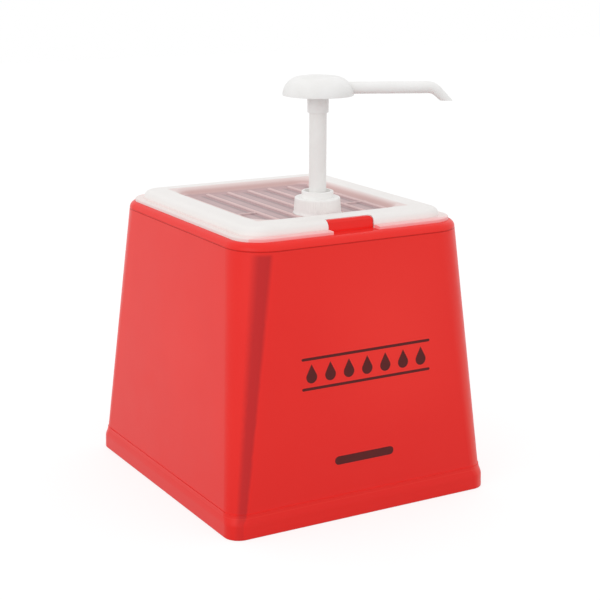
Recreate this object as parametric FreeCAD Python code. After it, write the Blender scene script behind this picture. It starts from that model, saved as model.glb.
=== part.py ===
"""Counter-top sauce dispenser: tapered red housing, sunken white lid and a press pump.

Millimetres, +Z up. The origin is the middle of the base, on the surface it stands on.
-Y is the front, where the catch is; the pump stands in the middle of the width.
"""
import FreeCAD
import Part
import os
from math import cos, radians, sin, sqrt

V = FreeCAD.Vector

# Housing: a tapered box on a plinth, closed on top by the lid
BASE_WIDTH = 265.0             # plinth, at the surface it stands on
BASE_DEPTH = 282.2
BASE_CORNER = 14.3
BASE_ROUND = 1.2
PLINTH_STRAIGHT = 11.5         # above this height the plinth curves in to meet the wall
PLINTH_DRAFT = 0.2             # each side, over the straight part
PLINTH_HEIGHT = 22.0
PLINTH_STEP = 0.5              # ledge from the plinth's top to the wall, each side
PLINTH_SECTIONS = 7
WALL_BOTTOM_WIDTH = 264.5      # the sloping wall carried down to the ground
WALL_BOTTOM_DEPTH = 280.9
WALL_BOTTOM_CORNER = 15.1
WALL_TOP_WIDTH = 223.9
WALL_TOP_DEPTH = 255.9
WALL_TOP_CORNER = 33.8
HOUSING_HEIGHT = 249.0
TOP_EDGE_ROUND = 6.5
GROOVE_BELOW_TOP = 6.8         # fine line under the rounded top edge
GROOVE_HALF_HEIGHT = 0.6
GROOVE_DEPTH = 0.55

# Catch: a tongue of the housing that hooks over the lid at the front
CATCH_WIDTH = 44.4
CATCH_CORNER = 3.2
CATCH_THICKNESS = 2.8
CATCH_FACE_Y = -111.0          # outer face at its foot
CATCH_LEAN = 1.2               # how far the top leans in
CATCH_REACH = 2.2              # how far the hook at its top reaches in
CATCH_ROOT = 4.0               # how far it goes down into the housing

# Lid: thin flange, raised border and a sunken ribbed middle
FLANGE_WIDTH = 214.0
FLANGE_DEPTH = 240.6
FLANGE_CORNER = 25.0
FLANGE_THICKNESS = 2.8
FLANGE_ROUND = 0.8
LID_WIDTH = 200.0
LID_DEPTH = 223.6
LID_CORNER = 20.0
LID_HEIGHT = 10.3              # from the housing's top to the border's top
LID_DRAFT = 0.8
LID_EDGE_ROUND = 6.3
RECESS_DEPTH = 6.4
RECESS_HALF_WIDTH = 77.0       # at the border's top
RECESS_FRONT = -84.0
RECESS_BACK = 93.0
RECESS_CORNER = 25.0
RECESS_SLOPE = 7.5             # run of the sloping wall down to the floor
RECESS_EDGE_ROUND = 4.0
RIB_COUNT = 7
RIB_PITCH = 22.0
RIB_RADIUS = 2.6
RIB_SUNK = 0.6                 # rib axis below the floor
RIB_BACK = 74.0
RIB_FRONT = -68.0
TIE_Y = -24.0                  # cross ribs that tie the outer ribs to the recess wall
NOTCH_CLEARANCE = 0.6

# Pump
PUMP_Y = -54.3                 # pump axis, in the middle of the width
SEAT_RADIUS = 22.6             # flat seat for the collar in the lid's floor
SEAT_RISE = 1.2
STEM_RADIUS = 7.7
STEM_FIT = 0.06                # radial running clearance of the stem in its guides
STEM_ROOM = 0.8                # radial room round the stem below its guide
STEM_BOTTOM = 256.5
STEM_TOP = 352.0
PRESS_TRAVEL = 62.0
WELL_SPARE = 5.0               # room left under the stem when fully pressed
COLLAR_FOOT_RADIUS = 21.7
COLLAR_FOOT_HEIGHT = 1.4
COLLAR_SKIRT_RADIUS = 21.1
COLLAR_TOP_RADIUS = 20.2
COLLAR_TOP = 269.0
COLLAR_ROUND = 1.2
GUIDE_RADIUS = 14.1            # guide ring on top of the collar
GUIDE_TOP = 274.6
GUIDE_WALL = 2.4
GUIDE_CUP_DEPTH = 3.2
GUIDE_ROUND = 0.6

# Pump head: dome, sleeve and spout in one moulding
SLEEVE_RADIUS = 9.5
SLEEVE_FOOT_RADIUS = 9.2
SLEEVE_BOTTOM = 343.7
HEAD_RADIUS = 31.1
HEAD_RIM = 358.6               # lowest edge of the dome
HEAD_RIM_HEIGHT = 0.8
HEAD_CROWN_RADIUS = 14.0       # where the shoulder passes into the crown
HEAD_SHOULDER_HEIGHT = 15.4
HEAD_TOP = 375.6
HEAD_WALL = 2.4
HEAD_HOLLOW_DEPTH = 6.0
HEAD_END_GAP = 0.1             # between the stem's top and the end of the sleeve's bore
SPOUT_HEADING = -28.0          # degrees from +X, turned about the pump axis
SPOUT_RADIUS = 5.3
SPOUT_AXIS_Z = 364.6
SPOUT_RISE = 0.7               # over the straight run
SPOUT_STRAIGHT = 95.0          # from the pump axis to the start of the bend
SPOUT_BEND_RADIUS = 13.0
SPOUT_BEND_ANGLE = 44.0
SPOUT_BEND_END_RADIUS = 4.6
SPOUT_TIP_RADIUS = 3.5
SPOUT_TIP_Z = 353.8            # the tip is cut level here
SPOUT_BORE_RADIUS = 2.2
SPOUT_BORE_DEPTH = 9.0
BEND_SECTIONS = 7

os.makedirs("parts", exist_ok=True)


def rounded_rectangle(width, depth, corner, z, middle_y=0.0):
    """Closed wire of a rectangle with round corners, level at height z."""
    half_x = width / 2
    half_y = depth / 2
    edges = []
    places = [(1, 1, 0), (-1, 1, 90), (-1, -1, 180), (1, -1, 270)]
    arcs = []
    for side_x, side_y, start in places:
        middle = V(side_x * (half_x - corner), middle_y + side_y * (half_y - corner), z)
        points = []
        for angle in (start, start + 45, start + 90):
            points.append(middle + V(cos(radians(angle)), sin(radians(angle)), 0) * corner)
        arcs.append(points)
    for number, points in enumerate(arcs):
        edges.append(Part.Arc(*points).toShape())
        following = arcs[(number + 1) % len(arcs)]
        edges.append(Part.LineSegment(points[2], following[0]).toShape())
    return Part.Wire(edges)


def tapered_block(lower, upper):
    """Solid with straight sides between two level outlines."""
    return Part.makeLoft([lower, upper], True, True)


def level_edges(shape, z, inside=None):
    """Edges that lie wholly at height z, within a plan-view limit if one is given."""
    found = []
    for edge in shape.Edges:
        box = edge.BoundBox
        if abs(box.ZMin - z) > 0.01 or abs(box.ZMax - z) > 0.01:
            continue
        if inside is not None:
            reach = max(abs(box.XMin), abs(box.XMax))
            if reach > inside:
                continue
        found.append(edge)
    return found


def turned(points):
    """Solid of revolution about the pump axis from (radius, z) points or 3-point arcs."""
    edges = []
    here = None
    for step in points:
        if len(step) == 2:
            there = V(step[0], 0, step[1])
            if here is not None:
                edges.append(Part.LineSegment(here, there).toShape())
        else:
            through = V(step[0], 0, step[1])
            there = V(step[2], 0, step[3])
            edges.append(Part.Arc(here, through, there).toShape())
        here = there
    start = V(points[0][0], 0, points[0][1])
    edges.append(Part.LineSegment(here, start).toShape())
    face = Part.Face(Part.Wire(edges))
    solid = face.revolve(V(0, 0, 0), V(0, 0, 1), 360)
    solid.translate(V(0, PUMP_Y, 0))
    return solid


def pump_cylinder(radius, bottom, top):
    return Part.makeCylinder(radius, top - bottom, V(0, PUMP_Y, bottom))


def save(shape, node):
    solid = shape.removeSplitter()
    if len(solid.Solids) != 1 or not solid.isValid():
        raise ValueError(node + " is not one valid solid")
    solid.Solids[0].exportStep("parts/" + node + ".step")
    print(node, "volume cm3", round(solid.Volume / 1000, 2))


def wall_size(z):
    """Width, depth and corner radius of the sloping wall at height z."""
    bottom = (WALL_BOTTOM_WIDTH, WALL_BOTTOM_DEPTH, WALL_BOTTOM_CORNER)
    top = (WALL_TOP_WIDTH, WALL_TOP_DEPTH, WALL_TOP_CORNER)
    share = z / HOUSING_HEIGHT
    return [low + (high - low) * share for low, high in zip(bottom, top)]


def wall_outline(z, inset=0.0):
    width, depth, corner = wall_size(z)
    return rounded_rectangle(width - 2 * inset, depth - 2 * inset, corner - inset, z)


def make_plinth():
    """Nearly upright base band whose top curves in to a small ledge round the wall."""
    base = (BASE_WIDTH, BASE_DEPTH, BASE_CORNER)
    straight = (BASE_WIDTH - 2 * PLINTH_DRAFT, BASE_DEPTH - 2 * PLINTH_DRAFT, BASE_CORNER)
    width, depth, corner = wall_size(PLINTH_HEIGHT)
    ledge = (width + 2 * PLINTH_STEP, depth + 2 * PLINTH_STEP, corner + PLINTH_STEP)
    band = tapered_block(rounded_rectangle(*base, 0), rounded_rectangle(*straight, PLINTH_STRAIGHT))
    band = band.makeFillet(BASE_ROUND, level_edges(band, 0))
    sections = []
    for number in range(PLINTH_SECTIONS):
        share = number / (PLINTH_SECTIONS - 1)
        inward = (1 - cos(radians(180 * share))) / 2
        size = [low + (high - low) * inward for low, high in zip(straight, ledge)]
        z = PLINTH_STRAIGHT + (PLINTH_HEIGHT - PLINTH_STRAIGHT) * share
        sections.append(rounded_rectangle(*size, z))
    return band.fuse(Part.makeLoft(sections, True, False))


def make_catch():
    """Tongue with a hooked top, drawn in side view and carried across its width."""
    root = HOUSING_HEIGHT - CATCH_ROOT
    top = HOUSING_HEIGHT + LID_HEIGHT
    face = CATCH_FACE_Y
    crown = face + CATCH_LEAN
    back = crown + CATCH_THICKNESS
    tip = back + CATCH_REACH
    side = [
        V(0, face, root),
        V(0, face, HOUSING_HEIGHT + 2),
        V(0, crown - 0.6, top - 2.2),
        V(0, crown + 1.2, top),
        V(0, tip - 0.6, top),
        V(0, tip, top - 0.6),
        V(0, tip, top - CATCH_THICKNESS + 0.6),
        V(0, back + 0.6, top - CATCH_THICKNESS),
        V(0, back, top - CATCH_THICKNESS - 0.8),
        V(0, face + CATCH_THICKNESS, HOUSING_HEIGHT + 2),
        V(0, face + CATCH_THICKNESS, root),
    ]
    section = Part.Face(Part.makePolygon(side + [side[0]]))
    section.translate(V(-CATCH_WIDTH / 2, 0, 0))
    tongue = section.extrude(V(CATCH_WIDTH, 0, 0))
    window = Part.makeBox(CATCH_WIDTH, 40, top - root, V(-CATCH_WIDTH / 2, face - 20, root))
    upright = []
    for edge in window.Edges:
        box = edge.BoundBox
        if box.YLength > 30 and abs(box.ZMin - top) < 0.01:
            upright.append(edge)
    return tongue.common(window.makeFillet(CATCH_CORNER, upright))


def make_housing():
    wall = tapered_block(wall_outline(PLINTH_HEIGHT), wall_outline(HOUSING_HEIGHT))
    wall = wall.makeFillet(TOP_EDGE_ROUND, level_edges(wall, HOUSING_HEIGHT))
    housing = make_plinth().fuse(wall)
    middle = HOUSING_HEIGHT - GROOVE_BELOW_TOP
    low = middle - GROOVE_HALF_HEIGHT
    high = middle + GROOVE_HALF_HEIGHT
    round_about = Part.makeBox(300, 300, high - low, V(-150, -150, low))
    core = tapered_block(wall_outline(low), wall_outline(middle, GROOVE_DEPTH))
    core = core.fuse(tapered_block(wall_outline(middle, GROOVE_DEPTH), wall_outline(high)))
    housing = housing.cut(round_about.cut(core))
    housing = housing.fuse(make_catch())
    well_bottom = STEM_BOTTOM - PRESS_TRAVEL - WELL_SPARE
    return housing.cut(pump_cylinder(STEM_RADIUS + STEM_ROOM, well_bottom, HOUSING_HEIGHT + 1))


def recess_outline(z, inset):
    depth = RECESS_BACK - RECESS_FRONT
    middle = (RECESS_BACK + RECESS_FRONT) / 2
    return rounded_rectangle(2 * (RECESS_HALF_WIDTH - inset), depth - 2 * inset,
                             RECESS_CORNER - inset, z, middle)


def make_rib(start, end):
    """Round-topped rib with ball ends, its axis just under the floor."""
    run = end - start
    rib = Part.makeCylinder(RIB_RADIUS, run.Length, start, run)
    return rib.fuse([Part.makeSphere(RIB_RADIUS, start), Part.makeSphere(RIB_RADIUS, end)])


def make_lid():
    bottom = HOUSING_HEIGHT
    top = bottom + LID_HEIGHT
    floor = top - RECESS_DEPTH
    block = tapered_block(
        rounded_rectangle(LID_WIDTH, LID_DEPTH, LID_CORNER, bottom),
        rounded_rectangle(LID_WIDTH - LID_DRAFT, LID_DEPTH - LID_DRAFT, LID_CORNER, top))
    block = block.makeFillet(LID_EDGE_ROUND, level_edges(block, top))
    flange = Part.Face(rounded_rectangle(FLANGE_WIDTH, FLANGE_DEPTH, FLANGE_CORNER, bottom))
    flange = flange.extrude(V(0, 0, FLANGE_THICKNESS))
    flange = flange.makeFillet(FLANGE_ROUND, level_edges(flange, bottom + FLANGE_THICKNESS))
    lid = block.fuse(flange)

    sink = tapered_block(recess_outline(floor, RECESS_SLOPE), recess_outline(top, 0))
    sink = sink.makeFillet(RECESS_EDGE_ROUND, level_edges(sink, floor))
    lid = lid.cut(sink)
    lid = lid.makeFillet(RECESS_EDGE_ROUND, level_edges(lid, top, RECESS_HALF_WIDTH + 0.5))

    axis_z = floor - RIB_SUNK
    ribs = []
    for number in range(RIB_COUNT):
        x = (number - (RIB_COUNT - 1) / 2) * RIB_PITCH
        ribs.append(make_rib(V(x, RIB_FRONT, axis_z), V(x, RIB_BACK, axis_z)))
    outer_rib = (RIB_COUNT - 1) / 2 * RIB_PITCH
    wall_foot = RECESS_HALF_WIDTH - RECESS_SLOPE
    for side in (-1, 1):
        start = V(side * (outer_rib - RIB_PITCH), TIE_Y, axis_z - RIB_SUNK)
        ribs.append(make_rib(start, V(side * wall_foot, TIE_Y, axis_z - RIB_SUNK)))
    lid = lid.fuse(ribs)

    seat = floor + SEAT_RISE
    lid = lid.cut(pump_cylinder(SEAT_RADIUS, seat, top + 1))
    lid = lid.fuse(pump_cylinder(SEAT_RADIUS, floor - 1, seat))
    lid = lid.cut(pump_cylinder(STEM_RADIUS + STEM_ROOM, bottom - 1, top + 1))
    notch_width = CATCH_WIDTH + 2 * NOTCH_CLEARANCE
    hook_tip = CATCH_FACE_Y + CATCH_LEAN + CATCH_THICKNESS + CATCH_REACH
    notch = Part.makeBox(notch_width, hook_tip + NOTCH_CLEARANCE + FLANGE_DEPTH, LID_HEIGHT + 2,
                         V(-notch_width / 2, -FLANGE_DEPTH, bottom - 1))
    return lid.cut(notch)


def make_collar():
    """Screw collar: a slightly flared skirt on a foot ring."""
    seat = HOUSING_HEIGHT + LID_HEIGHT - RECESS_DEPTH + SEAT_RISE
    foot_top = seat + COLLAR_FOOT_HEIGHT
    bore = STEM_RADIUS + STEM_ROOM
    turn = COLLAR_ROUND * (1 - cos(radians(45)))
    return turned([
        (bore, seat),
        (COLLAR_FOOT_RADIUS, seat),
        (COLLAR_FOOT_RADIUS, foot_top),
        (COLLAR_SKIRT_RADIUS, foot_top + 0.6),
        (COLLAR_TOP_RADIUS, COLLAR_TOP - COLLAR_ROUND),
        (COLLAR_TOP_RADIUS - turn, COLLAR_TOP - turn, COLLAR_TOP_RADIUS - COLLAR_ROUND, COLLAR_TOP),
        (bore, COLLAR_TOP),
    ])


def make_guide_ring():
    """Ring on the collar that the stem slides through, cupped at its top."""
    cup_radius = GUIDE_RADIUS - GUIDE_WALL
    turn = GUIDE_ROUND * (1 - cos(radians(45)))
    bore = STEM_RADIUS + STEM_FIT
    cup_floor = GUIDE_TOP - GUIDE_CUP_DEPTH
    return turned([
        (bore, COLLAR_TOP),
        (GUIDE_RADIUS, COLLAR_TOP),
        (GUIDE_RADIUS, GUIDE_TOP - GUIDE_ROUND),
        (GUIDE_RADIUS - turn, GUIDE_TOP - turn, GUIDE_RADIUS - GUIDE_ROUND, GUIDE_TOP),
        (cup_radius, GUIDE_TOP),
        (cup_radius, cup_floor),
        (bore, cup_floor),
    ])


def make_stem():
    return pump_cylinder(STEM_RADIUS, STEM_BOTTOM, STEM_TOP)


def make_dome():
    """Mushroom-shaped press head with a shallow hollow under its rim, and the sleeve."""
    rim_top = HEAD_RIM + HEAD_RIM_HEIGHT
    shoulder_z = rim_top + HEAD_SHOULDER_HEIGHT
    spread = HEAD_RADIUS - HEAD_CROWN_RADIUS
    middle = (HEAD_CROWN_RADIUS + spread * cos(radians(45)),
              rim_top + HEAD_SHOULDER_HEIGHT * sin(radians(45)))
    crown_rise = HEAD_TOP - shoulder_z
    ball = (HEAD_CROWN_RADIUS ** 2 + crown_rise ** 2) / (2 * crown_rise)
    half_way = HEAD_CROWN_RADIUS / 2
    crown = (half_way, HEAD_TOP - ball + sqrt(ball ** 2 - half_way ** 2))
    ceiling = HEAD_RIM + HEAD_HOLLOW_DEPTH
    inner = HEAD_RADIUS - HEAD_WALL
    bore = STEM_RADIUS + STEM_FIT
    bore_end = STEM_TOP + HEAD_END_GAP
    return turned([
        (0, bore_end),
        (bore, bore_end),
        (bore, SLEEVE_BOTTOM),
        (SLEEVE_FOOT_RADIUS, SLEEVE_BOTTOM),
        (SLEEVE_RADIUS, HEAD_RIM),
        (SLEEVE_RADIUS, ceiling),
        (inner - 1.5, ceiling),
        (inner, HEAD_RIM + 2),
        (inner + 0.6, HEAD_RIM),
        (HEAD_RADIUS, HEAD_RIM),
        (HEAD_RADIUS, rim_top),
        (middle[0], middle[1], HEAD_CROWN_RADIUS, shoulder_z),
        (crown[0], crown[1], 0, HEAD_TOP),
    ])


def spout_place(run, z):
    """Point in the spout's own upright plane: run out from the pump axis, at height z."""
    heading = radians(SPOUT_HEADING)
    return V(run * cos(heading), PUMP_Y + run * sin(heading), z)


def spout_circle(run, z, fall, radius):
    """Circle square to the spout's axis, which falls by the given angle there."""
    heading = radians(SPOUT_HEADING)
    slope = radians(fall)
    along = V(cos(heading) * cos(slope), sin(heading) * cos(slope), -sin(slope))
    return Part.Wire(Part.makeCircle(radius, spout_place(run, z), along))


def bend_place(fall):
    """Run and height of the spout's axis where it has turned down by the given angle."""
    run = SPOUT_STRAIGHT + SPOUT_BEND_RADIUS * sin(radians(fall))
    drop = SPOUT_BEND_RADIUS * (1 - cos(radians(fall)))
    return run, SPOUT_AXIS_Z + SPOUT_RISE - drop


def outlet_circle(back_from_tip, radius):
    """Circle on the straight outlet, at a distance before the level cut at its tip."""
    run, z = bend_place(SPOUT_BEND_ANGLE)
    slope = radians(SPOUT_BEND_ANGLE)
    along = (z - SPOUT_TIP_Z) / sin(slope) - back_from_tip
    return spout_circle(run + along * cos(slope), z - along * sin(slope), SPOUT_BEND_ANGLE, radius)


def make_spout():
    """Straight tube, a narrowing bend, and a tapered outlet cut level at its tip."""
    straight = tapered_block(
        spout_circle(0, SPOUT_AXIS_Z, 0, SPOUT_RADIUS),
        spout_circle(SPOUT_STRAIGHT, SPOUT_AXIS_Z + SPOUT_RISE, 0, SPOUT_RADIUS))
    bend = []
    for number in range(BEND_SECTIONS):
        share = number / (BEND_SECTIONS - 1)
        run, z = bend_place(SPOUT_BEND_ANGLE * share)
        radius = SPOUT_RADIUS + (SPOUT_BEND_END_RADIUS - SPOUT_RADIUS) * share
        bend.append(spout_circle(run, z, SPOUT_BEND_ANGLE * share, radius))
    outlet = tapered_block(bend[-1], outlet_circle(-2 * SPOUT_TIP_RADIUS, SPOUT_TIP_RADIUS))
    spout = straight.fuse([Part.makeLoft(bend, True, False), outlet])
    below = Part.makeBox(400, 400, 60, V(-200, -200, SPOUT_TIP_Z - 60))
    return spout.cut(below)


def make_spout_bore():
    return tapered_block(outlet_circle(SPOUT_BORE_DEPTH, SPOUT_BORE_RADIUS),
                         outlet_circle(-2 * SPOUT_TIP_RADIUS, SPOUT_BORE_RADIUS))


def make_head():
    head = make_dome().fuse(make_spout())
    bore = pump_cylinder(STEM_RADIUS + STEM_FIT, SLEEVE_BOTTOM - 1, STEM_TOP + HEAD_END_GAP)
    return head.cut([bore, make_spout_bore()])


save(make_housing(), "housing")
save(make_lid(), "lid")
save(make_collar(), "collar")
save(make_guide_ring(), "guide_ring")
save(make_stem(), "stem")
save(make_head(), "pump_head")
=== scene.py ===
import math

import bmesh
import bpy
from mathutils import Matrix, Vector


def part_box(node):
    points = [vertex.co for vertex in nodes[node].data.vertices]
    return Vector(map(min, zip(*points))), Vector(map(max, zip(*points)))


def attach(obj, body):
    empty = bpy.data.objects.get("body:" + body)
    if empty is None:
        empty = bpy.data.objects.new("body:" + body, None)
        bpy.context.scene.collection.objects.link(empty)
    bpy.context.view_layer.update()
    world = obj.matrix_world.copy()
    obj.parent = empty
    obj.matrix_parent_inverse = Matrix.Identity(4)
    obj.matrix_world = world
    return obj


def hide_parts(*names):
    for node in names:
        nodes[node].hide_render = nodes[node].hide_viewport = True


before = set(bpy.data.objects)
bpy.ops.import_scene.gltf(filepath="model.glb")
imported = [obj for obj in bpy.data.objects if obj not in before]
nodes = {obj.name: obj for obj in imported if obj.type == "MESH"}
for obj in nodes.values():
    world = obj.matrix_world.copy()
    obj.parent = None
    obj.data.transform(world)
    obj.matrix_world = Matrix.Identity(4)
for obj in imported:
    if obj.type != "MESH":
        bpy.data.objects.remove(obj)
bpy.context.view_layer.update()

scene = bpy.context.scene


# ---------------------------------------------------------------------------------------------
# Housing. One tapered box of satin red plastic on a low plinth, moulded in one shot together
# with the catch that hooks over the lid. A fine groove runs round under the rounded top edge,
# and painted shade darkens the red down the front left corner.

class Field:
    """A socket of a material's nodes. Arithmetic on it adds Math nodes."""

    def __init__(self, tree, socket=None):
        self.tree = tree
        self.socket = socket

    def node(self, kind, settings=(), sockets=(), out=0):
        """Adds a node, makes its settings, then fills or links its sockets by name or number."""
        made = self.tree.nodes.new("ShaderNode" + kind)
        for name, value in dict(settings).items():
            setattr(made, name, value)
        for name, value in dict(sockets).items():
            if isinstance(value, Field):
                self.tree.links.new(value.socket, made.inputs[name])
            else:
                made.inputs[name].default_value = value
        return Field(self.tree, made.outputs[out])

    def maths(self, operation, *values):
        return self.node("Math", {"operation": operation}, dict(enumerate(values)))

    def __add__(self, other):
        return self.maths("ADD", self, other)

    def __sub__(self, other):
        return self.maths("SUBTRACT", self, other)

    def __rsub__(self, other):
        return self.maths("SUBTRACT", other, self)

    def __mul__(self, other):
        return self.maths("MULTIPLY", self, other)

    __radd__ = __add__
    __rmul__ = __mul__

    def absolute(self):
        return self.maths("ABSOLUTE", self)

    def rise(self, low, high):
        """0 below low, 1 above high and smooth between. It falls where low is above high."""
        settings = {"interpolation_type": "SMOOTHSTEP"}
        return self.node("MapRange", settings, {0: self, 1: low, 2: high, 3: 0.0, 4: 1.0})

    def near(self, middle, half_width):
        """1 at the middle value, falling smoothly to 0 at a half width from it."""
        return (self - middle).absolute().rise(half_width, 0.0)

    def within(self, start, full, fade, end):
        """1 between full and fade, falling smoothly to 0 at start and at end."""
        return self.rise(start, full) * self.rise(end, fade)

    def turned_within(self, start, full, fade, end):
        """The same for an angle, with its limits in degrees."""
        return self.within(*(math.radians(limit) for limit in (start, full, fade, end)))

    def axis(self, name):
        return self.node("SeparateXYZ", sockets={0: self}, out="XYZ".index(name))

    def mix(self, plain, marked):
        """Colour that is plain where this field is 0 and marked where it is 1."""
        return self.node("Mix", {"data_type": "RGBA"}, {0: self, 6: plain, 7: marked}, out=2)

    def noise(self, scale, detail=2.0):
        return self.node("TexNoise", sockets={"Vector": self, "Scale": scale, "Detail": detail})

    def bump(self, distance, strength=1.0):
        sockets = {"Height": self, "Distance": distance, "Strength": strength}
        return self.node("Bump", sockets=sockets)


def finish_of(name, **constants):
    """New material: its Principled sockets take the constants. Gives it with its place field."""
    material = bpy.data.materials.new(name)
    material.use_nodes = True
    tree = material.node_tree
    shader = tree.nodes["Principled BSDF"]
    for socket, value in constants.items():
        shader.inputs[socket.replace("_", " ").title().replace("Ior", "IOR")].default_value = value
    place = Field(tree).node("TexCoord", out="Object")
    return material, shader, place


def drive(shader, socket, field):
    field.tree.links.new(field.socket, shader.inputs[socket])


def rgb(red, green, blue):
    """Linear colour from the 0 to 255 values of a colour chart."""
    linear = []
    for value in (red, green, blue):
        share = value / 255
        linear.append(share / 12.92 if share <= 0.04045 else ((share + 0.055) / 1.055) ** 2.4)
    return (*linear, 1.0)


def cover(node, material):
    """Gives a CAD node its finish."""
    node.data.materials.clear()
    node.data.materials.append(material)


GROOVE_BELOW_TOP = 0.0068
GROOVE_HALF_WIDTH = 0.0011
SHOULDER_TOP = 0.0222
SHOULDER_LINE = 0.0186
LOW_SHADE_TOP = 0.15
PAINTED_SHEEN_TURN = math.radians(24)

red, red_shader, place = finish_of("red_moulded", specular_ior_level=0.3, ior=1.4)
normal = place.node("TexCoord", out="Normal")
height = place.axis("Z")
housing_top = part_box("lid")[0].z
forward = normal.axis("Y") * -1.0
leftward = normal.axis("X") * -1.0
near_turn = leftward.maths("ARCTAN2", leftward, forward)
far_turn = near_turn * -1.0
groove_z = housing_top - GROOVE_BELOW_TOP

# The wall below the groove, then the painted light and shade on it. They are part of the colour,
# so they stay where they are when the light or the view changes.
wall = height.rise(groove_z - 0.0005, groove_z - 0.0045)
# Painted shade: a darker red band down the front left corner, weaker on the plinth.
painted_corner_shade = near_turn.turned_within(7, 16, 28, 46)
painted_corner_shade = painted_corner_shade * wall * (0.35 + 0.65 * height.rise(0.012, 0.024))
# Painted shade: the red darkens slightly towards the bottom.
painted_low_shade = height.rise(LOW_SHADE_TOP, 0.0)
# Painted sheen: lighter red on the front wall and round its right corner, strongest low down.
painted_sheen = far_turn.near(PAINTED_SHEEN_TURN, PAINTED_SHEEN_TURN) * height.rise(0.24, 0.05) * wall
# Painted shade: dark red on the far side of the front right corner and the right wall.
painted_far_shade = far_turn.turned_within(52, 75, 80, 100)
# Painted shade: a dark line along the groove.
painted_groove_shade = height.near(groove_z, GROOVE_HALF_WIDTH)
# Painted highlights: two thin lighter lines along the plinth's shoulder.
painted_shoulder_highlight = height.near(SHOULDER_TOP, 0.0006).maths("MAXIMUM", height.near(SHOULDER_LINE, 0.0005))
# Painted shade: above the groove the red darkens up to the top edge, and the catch above it as much.
painted_edge_shade = height.rise(groove_z + 0.001, housing_top) * 0.25
# Painted light: a broad lighter patch in the middle of the front wall.
painted_front_glow = place.axis("X").near(0.03, 0.1) * height.near(0.17, 0.11) * forward.rise(0.8, 0.95)

tone = place.noise(9.0).rise(0.3, 0.7).mix(rgb(245, 20, 17), rgb(249, 26, 20))
# Over the random tone, the painted shade and light below go on one after another.
tone = painted_low_shade.mix(tone, rgb(241, 10, 8))
tone = (painted_front_glow * 0.7).mix(tone, rgb(255, 44, 36))
tone = painted_sheen.mix(tone, rgb(246, 70, 62))
tone = painted_corner_shade.mix(tone, rgb(192, 0, 20))
tone = (painted_far_shade * 0.75).mix(tone, rgb(150, 10, 16))
tone = painted_edge_shade.mix(tone, rgb(214, 10, 14))
tone = (painted_groove_shade * 0.5).mix(tone, rgb(150, 4, 10))
tone = (painted_shoulder_highlight * 0.45).mix(tone, rgb(255, 90, 80))
drive(red_shader, "Base Color", tone)
drive(red_shader, "Roughness", 0.26 + 0.1 * place.noise(40.0))
drive(red_shader, "Normal", place.noise(900.0, 3.0).bump(0.00002))
cover(nodes["housing"], red)


# ---------------------------------------------------------------------------------------------
# Front print. Dark ink laid on the front wall: a row of plain drops between two rules, and a
# short bar lower down. The ink stands a tenth of a millimetre off the wall, along its slope.

# The front wall's y at the ground and at the housing's top.
WALL_LOW_Y = -0.14045
WALL_TOP_Y = -0.12795
INK = 0.0001
ROUND_STEPS = 8
DROP_STEPS = 18

wall_slope = Vector((0, WALL_TOP_Y - WALL_LOW_Y, housing_top)).normalized()
wall_out = Vector((0, -wall_slope.z, wall_slope.y))


def wall_point(x, z, lift):
    """Point on the front wall, lifted off it by a little."""
    y = WALL_LOW_Y + (WALL_TOP_Y - WALL_LOW_Y) * z / housing_top
    return Vector((x, y, z)) + wall_out * lift


def bar_outline(x, z, width, tall):
    """Outline of a bar with round ends."""
    radius = tall / 2
    outline = []
    for side, start in ((1, -90), (-1, 90)):
        for step in range(ROUND_STEPS + 1):
            angle = math.radians(start + 180 * step / ROUND_STEPS)
            outline.append((x + side * (width / 2 - radius) + radius * math.cos(angle),
                            z + radius * math.sin(angle)))
    return outline


def drop_outline(x, z, width, tall):
    """Outline of a drop with its point upwards: an arc of 240 degrees and the point."""
    radius = width / 2
    outline = []
    for step in range(DROP_STEPS + 1):
        angle = math.radians(150 + 240 * step / DROP_STEPS)
        outline.append((x + radius * math.cos(angle), z - tall / 2 + radius * (1 + math.sin(angle))))
    outline.append((x, z + tall / 2))
    return outline


def print_piece(name, outlines, material):
    """Thin ink pads over outlines given as x and height."""
    mesh = bmesh.new()
    for outline in outlines:
        back = [mesh.verts.new(wall_point(x, z, -INK)) for x, z in outline]
        face = [mesh.verts.new(wall_point(x, z, INK)) for x, z in outline]
        mesh.faces.new(face)
        mesh.faces.new(back[::-1])
        count = len(outline)
        for number in range(count):
            after = (number + 1) % count
            mesh.faces.new((back[number], back[after], face[after], face[number]))
    bmesh.ops.recalc_face_normals(mesh, faces=mesh.faces)
    data = bpy.data.meshes.new(name)
    mesh.to_mesh(data)
    mesh.free()
    data.materials.append(material)
    piece = bpy.data.objects.new(name, data)
    scene.collection.objects.link(piece)
    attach(piece, "dispenser")


ink, ink_shader, place = finish_of("dark_ink", roughness=0.4, ior=1.36)
drive(ink_shader, "Base Color", place.noise(120.0).mix(rgb(78, 8, 8), rgb(98, 14, 14)))
drive(ink_shader, "Roughness", 0.38 + 0.12 * place.noise(300.0))

PRINT_X = 0.004
PRINT_Z = 0.1345
DROPS = 7
DROP_PITCH = 0.0185
DROP_WIDTH = 0.0105
DROP_TALL = 0.0165
RULE_OFFSET = 0.0130
RULE_LENGTH = 0.130
RULE_TALL = 0.0024
BAR_X = 0.0
BAR_Z = 0.0535
BAR_LENGTH = 0.060
BAR_TALL = 0.0075

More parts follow.
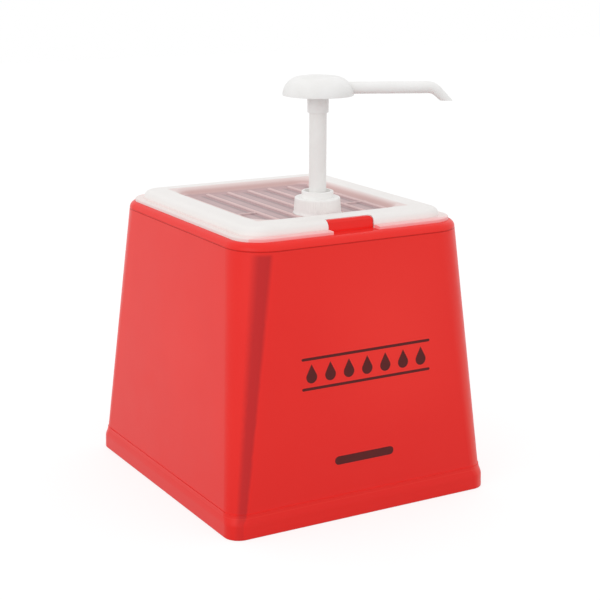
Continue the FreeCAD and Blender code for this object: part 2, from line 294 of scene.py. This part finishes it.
drops = []
for number in range(DROPS):
    x = PRINT_X + (number - (DROPS - 1) / 2) * DROP_PITCH
    drops.append(drop_outline(x, PRINT_Z, DROP_WIDTH, DROP_TALL))
print_piece("print_drops", drops, ink)
rules = []
for z in (PRINT_Z + RULE_OFFSET, PRINT_Z - RULE_OFFSET):
    rules.append(bar_outline(PRINT_X, z, RULE_LENGTH, RULE_TALL))
print_piece("print_rules", rules, ink)
print_piece("print_bar", [bar_outline(BAR_X, BAR_Z, BAR_LENGTH, BAR_TALL)], ink)


# ---------------------------------------------------------------------------------------------
# Lid. Milky translucent plastic, pressed in one piece: a thin flange lies on the housing and
# takes up its red, and the raised border goes round a sunken ribbed floor, where what lies
# below shows through as mauve. The plastic here is opaque, and what shows through is its colour.

RIB_PITCH = 0.022
FLOOR_BELOW_TOP = 0.0064
# Half width, front and back of the cove and of the floor: where each begins and where it is full.
COVE = ((0.0785, 0.0745), (-0.0865, -0.0815), (0.0965, 0.0915))
SUNKEN_FLOOR = ((0.0715, 0.0685), (-0.0785, -0.0755), (0.0875, 0.0835))

milky, milky_shader, place = finish_of("milky_lid", roughness=0.36, ior=1.4)
lid_low, lid_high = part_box("lid")
height = place.axis("Z")
across = place.axis("X")
along = place.axis("Y")
floor_z = lid_high.z - FLOOR_BELOW_TOP


def inside(side, front, back):
    """1 inside a rounded field of the lid, 0 outside it."""
    return across.absolute().rise(*side) * along.rise(*front) * along.rise(*back)


sunk = inside(*COVE)
on_floor = inside(*SUNKEN_FLOOR)
depth = height.rise(lid_high.z - 0.0006, floor_z + 0.0006)
from_rib = across.maths("WRAP", across, RIB_PITCH / 2, -RIB_PITCH / 2)
# Painted highlight along the rib crests, and painted shadow beside each rib, stronger on its left.
painted_rib_highlight = height.rise(floor_z + 0.0003, floor_z + 0.0018)
painted_rib_shadow = from_rib.near(-0.0062, 0.0034) + 0.65 * from_rib.near(0.0056, 0.0026)
ribbed = along.within(-0.072, -0.066, 0.070, 0.078)

white = place.noise(24.0).mix(rgb(242, 238, 235), rgb(248, 245, 243))
# Down the cove's wall the colour goes from pale pink to dusky pink: the red showing through, and
# painted shade in the recess.
cove_red_and_shade = depth.mix(rgb(234, 214, 211), rgb(196, 146, 142))
mauve = place.noise(60.0).mix(rgb(164, 118, 124), rgb(184, 140, 144))
mauve = (painted_rib_shadow * ribbed * 0.9).mix(mauve, rgb(112, 62, 74))
mauve = (painted_rib_highlight * 0.9).mix(mauve, rgb(222, 184, 182))
tone = sunk.mix(white, cove_red_and_shade)
tone = (on_floor * height.rise(floor_z + 0.0032, floor_z + 0.0022)).mix(tone, mauve)

past_side = across.absolute().rise(0.1000, 0.1012)
outside = past_side.maths("MAXIMUM", along.absolute().rise(0.1118, 0.1130))
flange = outside * height.rise(lid_low.z + 0.0040, lid_low.z + 0.0026)
front = along.rise(-0.100, -0.118)
blush = front.mix(rgb(246, 216, 212), rgb(255, 176, 176))
tone = flange.mix(tone, blush)
# Painted light: a pale band low on the lid's outer wall, just above the flange.
painted_wall_glow = outside * height.near(lid_low.z + 0.0046, 0.003) * 0.5
tone = painted_wall_glow.mix(tone, rgb(252, 246, 242))
drive(milky_shader, "Base Color", tone)
drive(milky_shader, "Roughness", 0.32 + 0.12 * place.noise(50.0))
drive(milky_shader, "Normal", place.noise(700.0, 3.0).bump(0.00003))
cover(nodes["lid"], milky)


# ---------------------------------------------------------------------------------------------
# Pump. White plastic: a knurled screw collar and a guide ring on the lid, the stem that slides
# through them, and the press head with its spout, turning on the top of the stem.

def pump_white(name, bright, dull, roughness):
    """Slightly cloudy white plastic."""
    material, shader, place = finish_of(name, ior=1.45)
    drive(shader, "Base Color", place.noise(45.0).rise(0.3, 0.7).mix(dull, bright))
    drive(shader, "Roughness", roughness + 0.1 * place.noise(90.0))
    drive(shader, "Normal", place.noise(800.0, 3.0).bump(0.00002))
    return material


head_white = pump_white("head_white", rgb(248, 247, 246), rgb(243, 242, 240), 0.3)
stem_white = pump_white("stem_white", rgb(246, 245, 243), rgb(241, 239, 237), 0.26)
collar_white = pump_white("collar_white", rgb(249, 248, 246), rgb(243, 242, 240), 0.36)
cover(nodes["pump_head"], head_white)
cover(nodes["stem"], stem_white)
cover(nodes["guide_ring"], collar_white)

KNURLS = 84
KNURL_DEPTH = 0.00035
STEPS_PER_KNURL = 6
BORE = 0.0085
FLAT_FROM = 0.9
collar_low, collar_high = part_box("collar")
collar_foot = (collar_high.x - collar_low.x) / 2
pump_y = (collar_low.y + collar_high.y) / 2
base_z = collar_low.z
top_z = collar_high.z

# From the bore's foot out and up to the bore's top: radius, height, whether knurls are cut.
profile = [
    (BORE, base_z, False),
    (collar_foot - 0.0003, base_z, False),
    (collar_foot, base_z + 0.0003, False),
    (collar_foot, base_z + 0.0011, False),
    (collar_foot - 0.0002, base_z + 0.0014, False),
    (0.0211, base_z + 0.0020, False),
    (0.0210, base_z + 0.0030, True),
    (0.0207, base_z + 0.0070, True),
    (0.0203, top_z - 0.0024, True),
    (0.0202, top_z - 0.0012, False),
    (0.0200, top_z - 0.0005, False),
    (0.0195, top_z - 0.0001, False),
    (0.0190, top_z, False),
    (BORE, top_z, False),
]
around = KNURLS * STEPS_PER_KNURL
mesh = bmesh.new()
rings = []
for radius, z, cut in profile:
    ring = []
    for step in range(around):
        angle = 2 * math.pi * step / around
        groove = KNURL_DEPTH * (0.5 - 0.5 * math.cos(KNURLS * angle)) if cut else 0.0
        reach = radius - groove
        ring.append(mesh.verts.new((reach * math.cos(angle), pump_y + reach * math.sin(angle), z)))
    rings.append(ring)
for lower, upper in zip(rings, rings[1:] + rings[:1]):
    for step in range(around):
        after = (step + 1) % around
        mesh.faces.new((lower[step], lower[after], upper[after], upper[step]))
bmesh.ops.recalc_face_normals(mesh, faces=mesh.faces)
collar_mesh = bpy.data.meshes.new("knurled_collar")
mesh.to_mesh(collar_mesh)
mesh.free()
for face in collar_mesh.polygons:
    face.use_smooth = abs(face.normal.z) < FLAT_FROM
collar_mesh.materials.append(collar_white)
collar = bpy.data.objects.new("knurled_collar", collar_mesh)
scene.collection.objects.link(collar)
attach(collar, "dispenser")
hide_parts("collar")


# ---------------------------------------------------------------------------------------------
# Stage. A white floor that keeps a soft shadow, even light all round and a large soft lamp
# to the left of the camera.

FLOOR_HALF = 4.0
FLOOR_GLOW = 0.76
SKY_STRENGTH = 0.93
WHITE = (1.0, 1.0, 1.0, 1.0)

floor_mesh = bpy.data.meshes.new("floor")
corners = [(-FLOOR_HALF, -FLOOR_HALF, 0), (FLOOR_HALF, -FLOOR_HALF, 0),
           (FLOOR_HALF, FLOOR_HALF, 0), (-FLOOR_HALF, FLOOR_HALF, 0)]
floor_mesh.from_pydata(corners, [], [(0, 1, 2, 3)])
floor = bpy.data.objects.new("floor", floor_mesh)
scene.collection.objects.link(floor)
paper = bpy.data.materials.new("floor_paper")
paper.use_nodes = True
tree = paper.node_tree
tree.nodes.remove(tree.nodes["Principled BSDF"])

# Seen directly, as a reflection or through a clear part, the paper is lifted to white. To the
# light that it gives back it is a mid grey.
field = Field(tree)
lit = field.node("BsdfDiffuse", sockets={"Color": (0.5, 0.5, 0.5, 1.0)})
pale = field.node("BsdfDiffuse", sockets={"Color": (0.3, 0.3, 0.3, 1.0)})
lift = field.node("Emission", sockets={"Color": WHITE, "Strength": FLOOR_GLOW})
shown = field.node("AddShader", sockets={0: pale, 1: lift})
camera_ray = field.node("LightPath", out="Is Camera Ray")
glossy_ray = field.node("LightPath", out="Is Glossy Ray")
clear_ray = field.node("LightPath", out="Is Transmission Ray")
seen = (camera_ray + glossy_ray + clear_ray).rise(0.2, 0.8)
both = field.node("MixShader", sockets={0: seen, 1: lit, 2: shown})
tree.links.new(both.socket, tree.nodes["Material Output"].inputs["Surface"])
floor_mesh.materials.append(paper)

world = bpy.data.worlds.new("studio")
scene.world = world
world.use_nodes = True
tree = world.node_tree
sky = Field(tree, tree.nodes["Background"].outputs[0])
tree.nodes["Background"].inputs["Color"].default_value = WHITE
tree.nodes["Background"].inputs["Strength"].default_value = SKY_STRENGTH
# Behind the object the camera meets plain white. All other rays meet the light itself.
plain_white = sky.node("Background", sockets={"Color": WHITE, "Strength": 1.0})
seen = sky.node("LightPath", out="Is Camera Ray")
both = sky.node("MixShader", sockets={0: seen, 1: sky, 2: plain_white})
tree.links.new(both.socket, tree.nodes["World Output"].inputs[0])


def soft_lamp(name, where, aim, width, height, watts):
    """Rectangular lamp that faces a point."""
    lamp = bpy.data.lights.new(name, "AREA")
    lamp.shape = "RECTANGLE"
    lamp.size = width
    lamp.size_y = height
    lamp.energy = watts
    stand = bpy.data.objects.new(name, lamp)
    stand.location = where
    stand.rotation_euler = (Vector(aim) - Vector(where)).to_track_quat("-Z", "Y").to_euler()
    scene.collection.objects.link(stand)


soft_lamp("left_softbox", where=(-2.2, -1.2, 1.1), aim=(0, 0, 0.15),
          width=1.6, height=1.6, watts=8.0)


# ---------------------------------------------------------------------------------------------
# Camera. Low and from the front left corner, with a long lens. It is turned by a fifth of a
# degree about its own line of sight.

AIM = Vector((0.01565, 0.00308, 0.15986))
HEADING = math.radians(-29.95)
ABOVE = math.radians(14.39)
ROLL = math.radians(0.2)
DISTANCE = 1.39275
LENS_MM = 88.96
SENSOR_MM = 36.0

back = Vector((math.sin(HEADING) * math.cos(ABOVE), -math.cos(HEADING) * math.cos(ABOVE),
               math.sin(ABOVE)))
camera = bpy.data.objects.new("camera", bpy.data.cameras.new("camera"))
camera.data.sensor_width = SENSOR_MM
camera.data.lens = LENS_MM
camera.location = AIM + back * DISTANCE
camera.rotation_mode = "QUATERNION"
turned = (-back).to_track_quat("-Z", "Y")
camera.rotation_quaternion = turned @ Matrix.Rotation(ROLL, 3, "Z").to_quaternion()
scene.collection.objects.link(camera)
scene.camera = camera
scene.view_settings.view_transform = "Standard"
